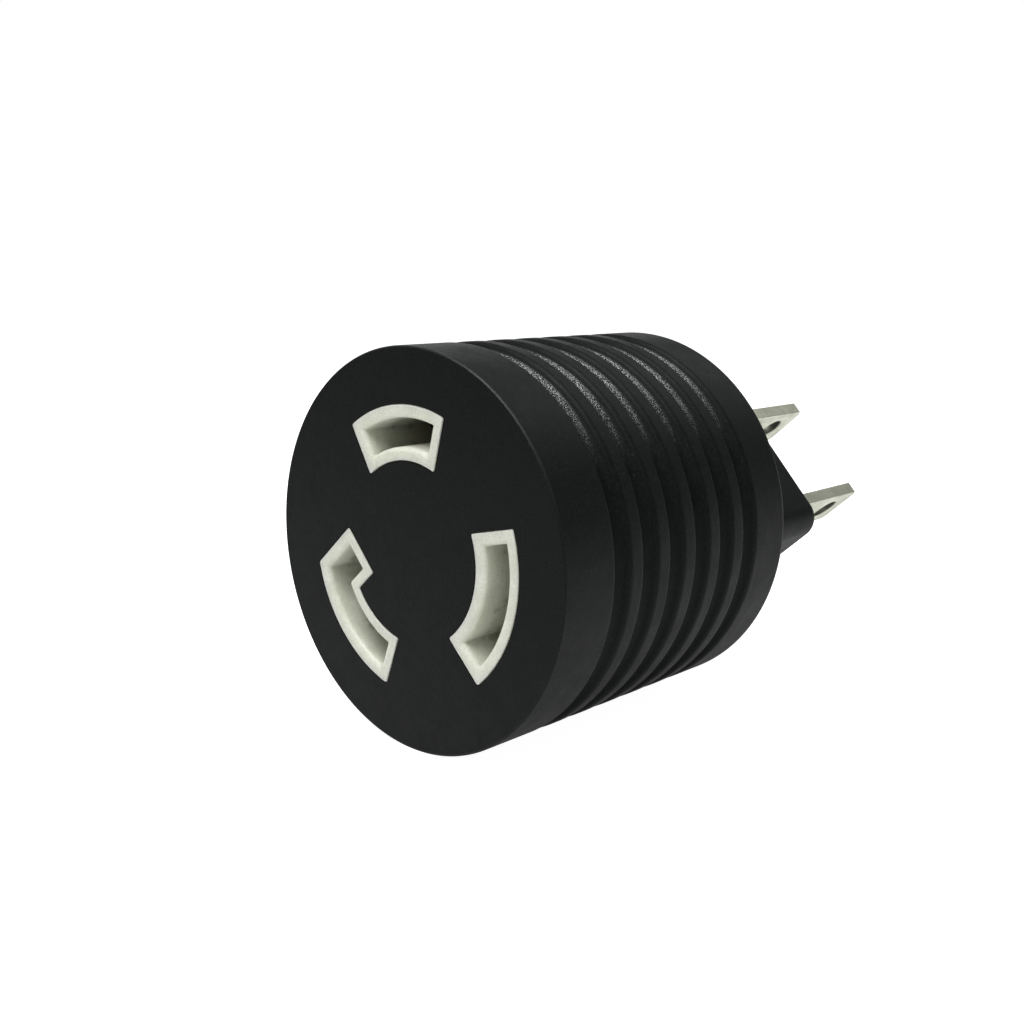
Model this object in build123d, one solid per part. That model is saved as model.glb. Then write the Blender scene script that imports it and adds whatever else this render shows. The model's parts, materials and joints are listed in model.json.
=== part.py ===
from build123d import *
import math
import os

# Cordless power adapter: a round locking socket on one end and a three-prong plug on the other.
# Every piece is drawn upright, with Z running from the socket face (Z = 0) back to the plug,
# X towards the hot blade and Y towards the ground pin. place() then lays the adapter on its side:
# the row's Y axis is the adapter's axis, row Z is up, and the origin stays at the socket face's centre.
# All lengths are millimetres and all angles degrees.

# ---- Driving dimensions ----
GAP = 0.02                 # fit gap between pieces that are assembled or moulded together
OVER = 1.0                 # how far a cutter runs past the face it opens
ROLL = -48.6               # direction of the hot blade about the adapter's axis, from row X towards row Z

BODY_R = 19.0
BODY_LEN = 33.7
GROOVE_COUNT = 6
GROOVE_PITCH = 3.93
GROOVE_FIRST = 7.54        # first groove's centre, from the socket face
GROOVE_WIDTH = 2.2
GROOVE_DEPTH = 0.9
GROOVE_LIP = 0.3
RIM_FRONT = 0.35
RIM_REAR = 0.6

# Socket slots: arcs round the axis, each given by its middle direction and half its opening's angle
SLOT_R_IN = 9.85
SLOT_R_OUT = 12.5
COLLAR_WALL = 1.2
HOT_ANGLE = -145.9
HOT_HALF = 22.3
NEUTRAL_ANGLE = -32.4
NEUTRAL_HALF = 29.0
GROUND_ANGLE = 90.0
GROUND_HALF = 28.2
HOOK_X_END = -5.48         # the ground slot's straight end, parallel to the slot's middle direction
HOOK_X_SIDE = -2.7
HOOK_Y_IN = 6.95

# Stations along Z
SKIN = 2.4                 # thickness of the black face over the white insert
INSERT_END = 8.4
CARRIER_END = 18.0
COVER_END = 21.0
CORE_STEP = 32.2           # the wide inner mould ends and its plug part begins
RETAINER_START = 40.5
BRIDGE_START = 42.0
BRIDGE_END = 49.0
PLUG_FACE = 51.2
BLADE_TIP = 68.7
PIN_TIP = 71.6

CORE_R = 15.5              # inserts, carrier, cover and inner mould

# Plug, to the common 15 A straight-blade pattern
BLADE_SPACING = 12.7
BLADE_WIDTH = 6.35
BLADE_THICK = 1.52
BLADE_Y = -1.85
BLADE_HOLE_R = 1.6
BLADE_HOLE_BEVEL = 0.25
BLADE_HOLE_FROM_TIP = 4.0
BLADE_BEVEL = 0.3
PIN_R = 2.38
PIN_DOME = 1.785           # rounding of the ground pin's tip
PIN_ROOT_R = 2.65          # thicker root of the ground pin, flush with the plug face
PIN_Y = BLADE_Y + 11.9
SHOULDER_LEN = 1.6
SHOULDER_EXTRA = 1.0
TAIL_WIDTH = 4.0

BOSS_HALF = 11.0
BOSS_LOW = -8.49
BOSS_CORNER = 2.5
BOSS_EDGE = 0.6
BOSS_WALL = 2.2

# Contacts
JAW_R = 12.0               # inner face of a contact's fixed jaw
JAW_MOUTH_GAP = 0.1        # from the insert to the jaw's mouth
JAW_THICK = 0.8
BASE_START = 17.2
POCKET_R_IN = 8.3
POCKET_R_OUT = 13.1
CONTACT_TRIM = 2.0         # degrees that a contact's jaw is narrower than its slot, at each side
LEAF_TRIM = 5.0            # the same for a leaf, so that it clears its pocket when it opens
HINGE_R = 10.35
HINGE_Z = 16.2
KNUCKLE_R = 0.5
KNUCKLE_LEN = 4.0
KNUCKLE_GAP = 0.05
SADDLE_WIDTH = 1.5
LEAF_THICK = 0.5
LEAF_MOUTH = 9.3
LEAF_MOUTH_R = 10.05
LEAF_BOW = 11.1            # the bow that presses the blade starts here
LEAF_BOW_R = 10.9
LEAF_BOW_LEN = 0.5
LEAF_FOOT = 16.0
JAW_FLARE = 0.25           # how far, and over what length, the jaw opens out at its mouth
JAW_FLARE_LEN = 1.3
TAIL_R = 10.8
BARREL_R = 1.7
BARREL_BORE = 0.95
BARREL_START = 21.3
BARREL_END = 24.8
BLADE_BARREL_START = 36.0
BLADE_BARREL_FLOOR = 38.9
FLOOR_THICK = 0.6

# Leads
WIRE_R = 0.93
INSULATION_R = 1.5
NEUTRAL_CROSS_Z = 27.0
HOT_CROSS_Z = 30.4
LEAD_BEND = 2.0

# Carrier screws
SCREW_ANGLES = (-89.0, 29.0, 154.0)
SCREW_R = 12.0
SCREW_SHANK_R = 1.25
SCREW_TIP = 3.4
SCREW_HEAD_R = 2.2
SCREW_HEAD_H = 1.5
SCREW_SLOT = 0.7
SCREW_POINT = 0.5


def place(shape):
    """Lay a piece drawn upright into the row frame."""
    turn = math.radians(ROLL)
    lying = Plane(origin=(0, 0, 0), x_dir=(math.cos(turn), 0, math.sin(turn)), z_dir=(0, 1, 0))
    return lying.location * shape


def polar(radius, angle):
    turn = math.radians(angle)
    return radius * math.cos(turn), radius * math.sin(turn)


def swept_ring(points, middle, half):
    """Turn an (R, Z) outline round the axis over middle +- half degrees."""
    outline = make_face(Polyline(*points, close=True))
    upright = Plane.XZ * outline
    return Rot(0, 0, middle - half) * revolve(upright, Axis.Z, 2 * half)


def sector(r_in, r_out, middle, half, grow=0.0):
    """Flat sector of a ring, with every side moved out by grow."""
    apex = polar(-grow / math.sin(math.radians(half)), middle)
    far = [polar(3 * r_out, middle + turn) for turn in (-half, 0, half)]
    corners = [(apex[0] + x, apex[1] + y) for x, y in [(0, 0)] + far]
    wedge = make_face(Polyline(*corners, close=True))
    return (Circle(r_out + grow) - Circle(r_in - grow)) & wedge


def rectangle(left, right, low, high):
    return Pos((left + right) / 2, (low + high) / 2) * Rectangle(right - left, high - low)


def ground_opening(grow=0.0):
    """Outline of the ground slot: an arc whose far end is cut straight and turns inwards as a hook."""
    overrun = 10
    arc = sector(SLOT_R_IN, SLOT_R_OUT, GROUND_ANGLE + overrun, GROUND_HALF + overrun, grow)
    keep = rectangle(HOOK_X_END - grow, BODY_R, -BODY_R, BODY_R)
    hook_top = SLOT_R_IN + 1
    hook = rectangle(HOOK_X_END - grow, HOOK_X_SIDE + grow, HOOK_Y_IN - grow, hook_top)
    return (arc & keep) + hook


def openings(grow=0.0):
    """The three slot outlines, hot, neutral and ground."""
    return [
        sector(SLOT_R_IN, SLOT_R_OUT, HOT_ANGLE, HOT_HALF, grow),
        sector(SLOT_R_IN, SLOT_R_OUT, NEUTRAL_ANGLE, NEUTRAL_HALF, grow),
        ground_opening(grow),
    ]


def slab(outline, low, high):
    """Extrude an outline from one Z station to another."""
    return extrude(Pos(0, 0, low) * outline, high - low)


def rod(radius, low, high, at=(0, 0)):
    return slab(Pos(*at) * Circle(radius), low, high)


def boss_outline(inset=0.0):
    """Plug outline: straight with rounded corners by the blades, half-round round the ground pin."""
    half = BOSS_HALF - inset
    low = BOSS_LOW + inset
    centre = BOSS_LOW + BOSS_HALF + BOSS_CORNER
    box = Pos(0, (low + centre) / 2) * Rectangle(2 * half, centre - low)
    box = fillet(box.vertices().group_by(Axis.Y)[0], BOSS_CORNER - inset)
    return box + Pos(0, centre) * Circle(half)


# ---- Black outer body ----
def body_blank():
    """Round ribbed body with its coved grooves, and the plug boss behind it."""
    body = rod(BODY_R, 0, BODY_LEN)
    body = fillet(body.edges().group_by(Axis.Z)[0], RIM_FRONT)
    body = fillet(body.edges().filter_by(GeomType.CIRCLE).group_by(Axis.Z)[-1], RIM_REAR)
    cove_r = (GROOVE_DEPTH**2 + (GROOVE_WIDTH / 2) ** 2) / (2 * GROOVE_DEPTH)
    for index in range(GROOVE_COUNT):
        groove_z = GROOVE_FIRST + index * GROOVE_PITCH
        cutter = Torus(BODY_R - GROOVE_DEPTH + cove_r, cove_r)
        body -= Pos(0, 0, groove_z) * cutter
    lips = [
        edge
        for edge in body.edges().filter_by(GeomType.CIRCLE)
        if abs(edge.radius - BODY_R) < GAP and RIM_FRONT + 1 < edge.center().Z < BODY_LEN - RIM_REAR - 1
    ]
    body = fillet(lips, GROOVE_LIP)
    boss = slab(boss_outline(), BODY_LEN - OVER, PLUG_FACE)
    boss = fillet(boss.faces().sort_by(Axis.Z)[-1].edges(), BOSS_EDGE)
    return body + boss


def overmould_body():
    body = body_blank()
    body -= rod(CORE_R + GAP, SKIN - GAP, CORE_STEP + GAP)
    body -= slab(boss_outline(BOSS_WALL - GAP), CORE_STEP - OVER, BRIDGE_END + GAP)
    for window in openings(COLLAR_WALL + GAP):
        body -= slab(window, -OVER, SKIN)
    for side in (-1, 1):
        body -= blade_section(side, BRIDGE_END, PLUG_FACE + OVER, GAP)
    body -= rod(PIN_ROOT_R + GAP, BRIDGE_END, PLUG_FACE + OVER, (0, PIN_Y))
    return body


# ---- Socket insert, carrier and cover ----
def socket_insert():
    """White insert: a flange behind the black face with a collar standing through it at each slot."""
    insert = rod(CORE_R, SKIN, INSERT_END)
    for collar in openings(COLLAR_WALL):
        insert += slab(collar, 0, SKIN)
    for opening in openings():
        insert -= slab(opening, -OVER, INSERT_END + OVER)
    for angle in SCREW_ANGLES:
        insert -= rod(SCREW_SHANK_R + GAP, SCREW_TIP - GAP, INSERT_END + OVER, polar(SCREW_R, angle))
    return insert


def contact_carrier():
    """Insulating block with one pocket per contact, open to both ends."""
    carrier = rod(CORE_R, INSERT_END, CARRIER_END)
    pockets = [
        sector(POCKET_R_IN, POCKET_R_OUT, HOT_ANGLE, HOT_HALF),
        sector(POCKET_R_IN, POCKET_R_OUT, NEUTRAL_ANGLE, NEUTRAL_HALF),
        sector(POCKET_R_IN, POCKET_R_OUT, GROUND_ANGLE, GROUND_HALF),
        ground_opening(),
    ]
    for pocket in pockets:
        carrier -= slab(pocket, INSERT_END - OVER, CARRIER_END + OVER)
    for angle in SCREW_ANGLES:
        carrier -= rod(SCREW_SHANK_R + GAP, INSERT_END - OVER, CARRIER_END + OVER, polar(SCREW_R, angle))
    return carrier


def carrier_cover():
    """Plate that shuts the pockets behind the contacts, with a window for each contact's tail."""
    cover = rod(CORE_R, CARRIER_END, COVER_END)
    for angle, _ in contact_angles():
        window = Rectangle(JAW_THICK + 2 * GAP, TAIL_WIDTH + 2 * GAP)
        cover -= slab(Rot(0, 0, angle) * Pos(TAIL_R, 0) * window, CARRIER_END - OVER, COVER_END + OVER)
    for angle in SCREW_ANGLES:
        cover -= rod(SCREW_SHANK_R + GAP, CARRIER_END - OVER, COVER_END + OVER, polar(SCREW_R, angle))
    return cover


def carrier_screws():
    """Self-tapping screws that clamp the cover and carrier to the insert."""
    screws = []
    for angle in SCREW_ANGLES:
        at = polar(SCREW_R, angle)
        head = rod(SCREW_HEAD_R, COVER_END, COVER_END + SCREW_HEAD_H, at)
        head = fillet(head.edges().group_by(Axis.Z)[-1], SCREW_HEAD_H / 2)
        tip = chamfer(rod(SCREW_SHANK_R, SCREW_TIP, COVER_END, at).edges().group_by(Axis.Z)[0], SCREW_POINT)
        slot_at = (*at, COVER_END + SCREW_HEAD_H)
        slot = Pos(*slot_at) * Box(2 * SCREW_HEAD_R + OVER, SCREW_SLOT, SCREW_HEAD_H)
        screws.append(head + tip - slot)
    return Compound(screws)


# ---- Contacts and their spring leaves ----
def contact_angles():
    """Middle direction and half angle that each contact has to fill, hot, neutral and ground."""
    ground_start = GROUND_ANGLE - GROUND_HALF
    ground_stop = GROUND_ANGLE + math.degrees(math.asin(-HOOK_X_SIDE / SLOT_R_IN))
    ground_middle = (ground_start + ground_stop) / 2
    return [
        (HOT_ANGLE, HOT_HALF),
        (NEUTRAL_ANGLE, NEUTRAL_HALF),
        (ground_middle, (ground_stop - ground_start) / 2),
    ]


def contact(angle, half):
    """Brass contact: fixed jaw, base, saddle for the leaf's root, and a tail with its crimp barrel."""
    mouth = INSERT_END + JAW_MOUTH_GAP
    jaw_out = JAW_R + JAW_THICK
    profile = [
        (JAW_R + JAW_FLARE, mouth),
        (jaw_out + JAW_FLARE, mouth),
        (jaw_out, mouth + JAW_FLARE_LEN),
        (jaw_out, BASE_START),
        (POCKET_R_OUT - GAP, BASE_START),
        (POCKET_R_OUT - GAP, CARRIER_END),
        (POCKET_R_IN + GAP, CARRIER_END),
        (POCKET_R_IN + GAP, BASE_START),
        (JAW_R, BASE_START),
        (JAW_R, mouth + JAW_FLARE_LEN),
    ]
    strip = swept_ring(profile, angle, half - CONTACT_TRIM)
    turn = Rot(0, 0, angle)
    saddle_h = BASE_START - HINGE_Z
    saddle = Pos(HINGE_R, 0, HINGE_Z + saddle_h / 2) * Box(SADDLE_WIDTH, KNUCKLE_LEN, saddle_h + GAP)
    trough = Pos(HINGE_R, 0, HINGE_Z) * Rot(90, 0, 0) * Cylinder(KNUCKLE_R + KNUCKLE_GAP, KNUCKLE_LEN + OVER)
    strip += turn * (saddle - trough)
    tail_length = BARREL_START - CARRIER_END + OVER
    strip += turn * (Pos(TAIL_R, 0, BARREL_START - tail_length / 2) * Box(JAW_THICK, TAIL_WIDTH, tail_length))
    strip += turn * barrel(BARREL_START, BARREL_START + FLOOR_THICK, BARREL_END, (TAIL_R, 0))
    return strip


def barrel(low, floor, high, at):
    """Crimp barrel open at its high end, with a solid floor from low to floor."""
    return rod(BARREL_R, low, high, at) - rod(BARREL_BORE, floor, high + OVER, at)


def spring_leaf(angle, half):
    """Bowed leaf whose rolled root sits in the contact's saddle and whose bow presses the blade."""
    bow_end = LEAF_BOW + LEAF_BOW_LEN
    line = [
        (LEAF_MOUTH_R, LEAF_MOUTH),
        (LEAF_BOW_R, LEAF_BOW),
        (LEAF_BOW_R, bow_end),
        (HINGE_R, LEAF_FOOT),
    ]
    inner = [(r - LEAF_THICK / 2, z) for r, z in line]
    outer = [(r + LEAF_THICK / 2, z) for r, z in reversed(line)]
    leaf = swept_ring(inner + outer, angle, half - LEAF_TRIM)
    knuckle = Pos(HINGE_R, 0, HINGE_Z) * Rot(90, 0, 0) * Cylinder(KNUCKLE_R, KNUCKLE_LEN)
    return leaf + Rot(0, 0, angle) * knuckle


# ---- Plug ----
def blade_section(side, low, high, grow=0.0):
    size = (BLADE_THICK + 2 * grow, BLADE_WIDTH + 2 * grow)
    return slab(Pos(side * BLADE_SPACING / 2, BLADE_Y) * Rectangle(*size), low, high)


def blade_shoulder(side, grow=0.0):
    size = (BLADE_THICK + 2 * grow, BLADE_WIDTH + 2 * SHOULDER_EXTRA + 2 * grow)
    outline = Pos(side * BLADE_SPACING / 2, BLADE_Y) * Rectangle(*size)
    return slab(outline, BRIDGE_START - grow, BRIDGE_START + SHOULDER_LEN + grow)


def blade_tail(side, grow=0.0):
    """Narrow tail and crimp barrel behind a blade's shoulder."""
    at = (side * BLADE_SPACING / 2, BLADE_Y)
    outline = Pos(*at) * Rectangle(BLADE_THICK + 2 * grow, TAIL_WIDTH + 2 * grow)
    tail = slab(outline, BLADE_BARREL_FLOOR, BRIDGE_START)
    floor_top = BLADE_BARREL_FLOOR + FLOOR_THICK
    return tail + rod(BARREL_R + grow, BLADE_BARREL_START - grow, floor_top + grow, at)


def blade(side):
    """Flat blade with bevelled tip, cross hole, shoulder, tail and crimp barrel."""
    prong = blade_section(side, BRIDGE_START, BLADE_TIP)
    prong = chamfer(prong.edges().group_by(Axis.Z)[-1], BLADE_BEVEL)
    at = (side * BLADE_SPACING / 2, BLADE_Y)
    hole = Rot(0, 90, 0) * Cylinder(BLADE_HOLE_R, 4 * BLADE_THICK)
    prong -= Pos(*at, BLADE_TIP - BLADE_HOLE_FROM_TIP) * hole
    rims = [edge for edge in prong.edges().filter_by(GeomType.CIRCLE) if abs(edge.radius - BLADE_HOLE_R) < GAP]
    prong = chamfer(rims, BLADE_HOLE_BEVEL)
    prong += blade_shoulder(side) + blade_tail(side)
    return prong - rod(BARREL_BORE, BLADE_BARREL_START - OVER, BLADE_BARREL_FLOOR, at)


def ground_pin():
    """Round ground pin with a domed tip, a flange and a crimp barrel."""
    at = (0, PIN_Y)
    pin = rod(PIN_R, BRIDGE_START, PIN_TIP, at)
    pin = fillet(pin.edges().group_by(Axis.Z)[-1], PIN_DOME)
    pin += rod(PIN_ROOT_R, BRIDGE_START, PLUG_FACE, at)
    pin += rod(PIN_ROOT_R + SHOULDER_EXTRA, BRIDGE_START, BRIDGE_START + SHOULDER_LEN, at)
    pin += rod(BARREL_R, BLADE_BARREL_START, BRIDGE_START, at)
    return pin - rod(BARREL_BORE, BLADE_BARREL_START - OVER, BLADE_BARREL_FLOOR, at)


def blade_bridge():
    """Block that holds the blades and the ground pin in line."""
    block = slab(boss_outline(BOSS_WALL), BRIDGE_START, BRIDGE_END)
    for side in (-1, 1):
        block -= blade_section(side, BRIDGE_START - OVER, BRIDGE_END + OVER, GAP)
        block -= blade_shoulder(side, GAP)
    block -= rod(PIN_ROOT_R + GAP, BRIDGE_START - OVER, BRIDGE_END + OVER, (0, PIN_Y))
    flange_r = PIN_ROOT_R + SHOULDER_EXTRA + GAP
    return block - rod(flange_r, BRIDGE_START - OVER, BRIDGE_START + SHOULDER_LEN + GAP, (0, PIN_Y))


def bridge_retainer():
    """Plate that keeps the shoulders seated in the bridge."""
    plate = slab(boss_outline(BOSS_WALL), RETAINER_START, BRIDGE_START)
    for side in (-1, 1):
        at = (side * BLADE_SPACING / 2, BLADE_Y)
        window = Pos(*at) * Rectangle(BLADE_THICK + 2 * GAP, TAIL_WIDTH + 2 * GAP)
        plate -= slab(window, RETAINER_START - OVER, BRIDGE_START + OVER)
    return plate - rod(BARREL_R + GAP, RETAINER_START - OVER, BRIDGE_START + OVER, (0, PIN_Y))


# ---- Leads from the contacts to the blades ----
def lead_path(name, low, high):
    """Centre line of a lead between two Z stations inside its crimp barrels."""
    (hot_angle, _), (neutral_angle, _), (ground_angle, _) = contact_angles()
    if name == "ground":
        start = polar(TAIL_R, ground_angle)
        corners = [(*start, NEUTRAL_CROSS_Z), (0, PIN_Y, HOT_CROSS_Z)]
        end = (0, PIN_Y)
    else:
        crossing = {"hot": HOT_CROSS_Z, "neutral": NEUTRAL_CROSS_Z}[name]
        start = polar(TAIL_R, {"hot": hot_angle, "neutral": neutral_angle}[name])
        end = ({"hot": 1, "neutral": -1}[name] * BLADE_SPACING / 2, BLADE_Y)
        corners = [(*start, crossing), (*end, crossing)]
    return FilletPolyline((*start, low), *corners, (*end, high), radius=LEAD_BEND)


def lead_solid(name, radius, low, high):
    path = lead_path(name, low, high)
    start = Plane(origin=path @ 0, z_dir=path % 0)
    return sweep(start * Circle(radius), path=path)


def conductor(name):
    return lead_solid(name, WIRE_R, BARREL_START + FLOOR_THICK + GAP, BLADE_BARREL_FLOOR - GAP)


def insulation(name, grow=0.0):
    sleeve_start = BARREL_END + GAP - grow
    sleeve_end = BLADE_BARREL_START - GAP + grow
    return lead_solid(name, INSULATION_R + grow, sleeve_start, sleeve_end)


def insulation_tube(name):
    bore = lead_solid(name, WIRE_R + GAP, BARREL_END - OVER, BLADE_BARREL_START + OVER)
    return insulation(name) - bore


def lead_premould():
    """Inner mould that fills the body round the leads and locks the two halves together."""
    core = rod(CORE_R, COVER_END, CORE_STEP)
    core += slab(boss_outline(BOSS_WALL), CORE_STEP, RETAINER_START)
    for angle in SCREW_ANGLES:
        core -= rod(SCREW_HEAD_R + GAP, COVER_END - OVER, COVER_END + SCREW_HEAD_H + GAP, polar(SCREW_R, angle))
    for angle, _ in contact_angles():
        tail = Pos(TAIL_R, 0) * Rectangle(JAW_THICK + 2 * GAP, TAIL_WIDTH + 2 * GAP)
        core -= Rot(0, 0, angle) * slab(tail, COVER_END - OVER, BARREL_START)
        core -= rod(BARREL_R + GAP, BARREL_START - GAP, BARREL_END + GAP, polar(TAIL_R, angle))
    for name in ("hot", "neutral", "ground"):
        core -= insulation(name, GAP)
    for side in (-1, 1):
        core -= blade_tail(side, GAP)
    return core - rod(BARREL_R + GAP, BLADE_BARREL_START - GAP, RETAINER_START + OVER, (0, PIN_Y))


def write(name, shape):
    piece = place(shape)
    export_step(piece, f"parts/{name}.step")


def main():
    os.makedirs("parts", exist_ok=True)
    write("overmould_body", overmould_body())
    write("socket_insert", socket_insert())
    write("contact_carrier", contact_carrier())
    write("carrier_cover", carrier_cover())
    write("carrier_screws", carrier_screws())
    for name, (angle, half) in zip(("hot", "neutral", "ground"), contact_angles()):
        write(f"{name}_contact", contact(angle, half))
        write(f"{name}_spring_leaf", spring_leaf(angle, half))
        write(f"{name}_conductor", conductor(name))
        write(f"{name}_insulation", insulation_tube(name))
    write("hot_blade", blade(1))
    write("neutral_blade", blade(-1))
    write("ground_pin", ground_pin())
    write("blade_bridge", blade_bridge())
    write("bridge_retainer", bridge_retainer())
    write("lead_premould", lead_premould())


main()
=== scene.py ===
import json
import math

import bmesh
import bpy
from mathutils import Matrix, Vector


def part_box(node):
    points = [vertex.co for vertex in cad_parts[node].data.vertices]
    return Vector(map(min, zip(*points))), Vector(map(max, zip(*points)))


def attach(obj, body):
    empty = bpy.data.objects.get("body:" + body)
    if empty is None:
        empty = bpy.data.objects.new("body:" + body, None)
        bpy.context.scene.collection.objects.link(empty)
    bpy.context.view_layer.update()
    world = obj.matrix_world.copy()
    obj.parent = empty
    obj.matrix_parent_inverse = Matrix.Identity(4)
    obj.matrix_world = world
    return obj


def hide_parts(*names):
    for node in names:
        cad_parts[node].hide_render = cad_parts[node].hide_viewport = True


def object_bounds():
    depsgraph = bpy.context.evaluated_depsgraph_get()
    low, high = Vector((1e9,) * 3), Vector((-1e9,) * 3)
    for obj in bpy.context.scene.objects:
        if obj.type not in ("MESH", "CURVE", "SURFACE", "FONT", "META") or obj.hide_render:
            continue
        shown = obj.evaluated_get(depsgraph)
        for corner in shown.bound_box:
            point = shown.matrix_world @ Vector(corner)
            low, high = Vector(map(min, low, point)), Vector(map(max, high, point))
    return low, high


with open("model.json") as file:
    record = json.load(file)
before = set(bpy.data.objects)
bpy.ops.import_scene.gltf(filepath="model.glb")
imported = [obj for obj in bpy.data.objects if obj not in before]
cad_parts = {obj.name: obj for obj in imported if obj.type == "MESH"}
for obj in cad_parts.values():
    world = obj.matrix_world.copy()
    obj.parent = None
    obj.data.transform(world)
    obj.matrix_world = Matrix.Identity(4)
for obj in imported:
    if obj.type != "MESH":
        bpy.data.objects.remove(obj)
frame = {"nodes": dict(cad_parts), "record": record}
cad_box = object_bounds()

# Power adapter. Pieces are drawn upright in millimetres: Z runs from the socket face (Z = 0) back to the
# plug, X points to the hot blade and Y to the ground pin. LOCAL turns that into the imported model's
# frame, in metres, where the adapter's axis is Y and the hot blade lies towards SIDE.
MM = 0.001
MOUNTS = {m["name"]: Vector(m["pos_m"]) for m in frame["record"]["mounts"]}
BACK = Vector((0, 1, 0))
SIDE = (MOUNTS["hot_blade"] - MOUNTS["neutral_blade"]).normalized()
LOCAL = Matrix((SIDE, BACK.cross(SIDE), BACK)).transposed().to_4x4() @ Matrix.Scale(MM, 4)


def span(node):
    """Where a CAD node starts and ends along the adapter's axis, in mm."""
    low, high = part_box(node)
    return low.y / MM, high.y / MM


# ---- Sizes, in mm ----
BODY_R = -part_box("overmould_body")[0].x / MM
BODY_LEN = 33.7
PLUG_FACE = span("overmould_body")[1]
BLADE_TIP = span("hot_blade")[1]
PIN_TIP = span("ground_pin")[1]
INSERT_START = 2.4
INSERT_END = span("socket_insert")[1]
CORE_R = 15.5              # radius of the hollow that the insert and the contacts sit in
GAP = 0.02                 # between parts that touch

GROOVE_COUNT = 6
GROOVE_PITCH = 3.93
GROOVE_FIRST = 7.54        # from the socket face to the first groove's middle
GROOVE_HALF = 0.95
GROOVE_DEPTH = 0.85
GROOVE_LIP = 0.65          # radius that turns a rib over into a groove
ERODED_END = math.radians(55)    # the slope at which a groove's spark-eroded floor ends
ERODED_FADE = math.radians(15)
RIM_FRONT = 0.22
RIM_REAR = 0.6
EDGE_FADE = 0.06           # where an edge's mark ends, past its rounding; the paler look it gives the black body is partly wear, partly painted highlight

SLOT_R_IN = 9.85
SLOT_R_OUT = 12.5
SLOT_CORNER = 0.20         # how far the corners of a slot's outline are eased
SLOT_MOUTH = 0.50          # rounding of a slot's mouth
SLOTS = {"hot": (-145.9, 22.3), "neutral": (-32.4, 29.0), "ground": (90.0, 28.2)}   # middle, half: degrees
HOOK_X_END = -5.48         # the ground slot's hook, at one end of it
HOOK_X_SIDE = -2.7
HOOK_Y_IN = 6.95
COLLAR_WALL = 1.2
COLLAR_PROUD = 0.06
COLLAR_RIM = 0.08
WINDOW_GAP = 0.03          # between a collar and its window in the face
WINDOW_LIP = 0.10

BOSS_HALF = 11.0
BOSS_LOW = -8.49
BOSS_ROUND_Y = 5.01        # centre of the half-round end
BOSS_CORNER = 2.5
BOSS_CORNER_LEAST = 0.5
BOSS_ROOT = 0.4            # fillet where the boss leaves the body
BOSS_EDGE = 0.6
BOSS_WALL = 2.2
BOSS_INSIDE = (32.22, 49.02)

BLADE_X = 6.35
BLADE_Y = -1.85
BLADE_WIDTH = 6.35
BLADE_THICK = 1.52
BLADE_CORNER = 0.12
PIN_Y = 10.05
PIN_R = 2.38
PIN_ROOT_R = 2.65
PLUG_HOLE_LIP = 0.12

# ---- Points round a ring, and steps along a stretch ----
ROUND = 288                # the body
CORE_ROUND = 96
PIN_ROUND = 64
CROSS_HOLE_ROUND = 64
PLUG_HOLE_ROUND = 48
BARREL_ROUND = 40
BORE_ROUND = 24
ARC_STEPS = 48             # along a slot's arcs, and along its ends, before they are evened out
END_STEPS = 8
BOSS_ARC_STEPS = 64
BOSS_CORNER_STEPS = 10
BOSS_SIDE_STEPS = 10
BOSS_LOW_STEPS = 12
LIP_STEPS = 7              # along a groove's lip, and from there to its middle
COVE_STEPS = 9


# ---- Outlines ----
def polar(radius, degrees):
    """The point at that radius and angle."""
    turn = math.radians(degrees)
    return radius * math.cos(turn), radius * math.sin(turn)


def arc(centre, radius, start, stop, steps):
    """Points on an arc, both ends included."""
    points = []
    for i in range(steps + 1):
        x, y = polar(radius, start + (stop - start) * i / steps)
        points.append((centre[0] + x, centre[1] + y))
    return points


def line(a, b, steps):
    """Points on a straight line, both ends included."""
    points = []
    for i in range(steps + 1):
        points.append((a[0] + (b[0] - a[0]) * i / steps, a[1] + (b[1] - a[1]) * i / steps))
    return points


def length(points):
    """How long a chain of points is."""
    return sum(math.dist(a, b) for a, b in zip(points, points[1:]))


def at(points, distance):
    """The point that far along a chain of points."""
    for a, b in zip(points, points[1:]):
        step = math.dist(a, b)
        if distance <= step:
            t = distance / step if step else 0.0
            return (a[0] + (b[0] - a[0]) * t, a[1] + (b[1] - a[1]) * t)
        distance -= step
    return points[-1]


def rounded(edges, corner, turns=5):
    """One closed outline from edges, each (points, steps), with its corners eased by corner."""
    outline = []
    for i, (points, count) in enumerate(edges):
        total = length(points)
        for k in range(count + 1):
            outline.append(at(points, corner + (total - 2 * corner) * k / count))
        following = edges[(i + 1) % len(edges)][0]
        a = outline[-1]
        b = at(following, corner)
        tip = points[-1]
        for k in range(1, turns):
            t = k / turns
            shares = ((1 - t) ** 2, 2 * t * (1 - t), t * t)
            outline.append(tuple(shares[0] * a[n] + shares[1] * tip[n] + shares[2] * b[n] for n in (0, 1)))
    return outline


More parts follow.
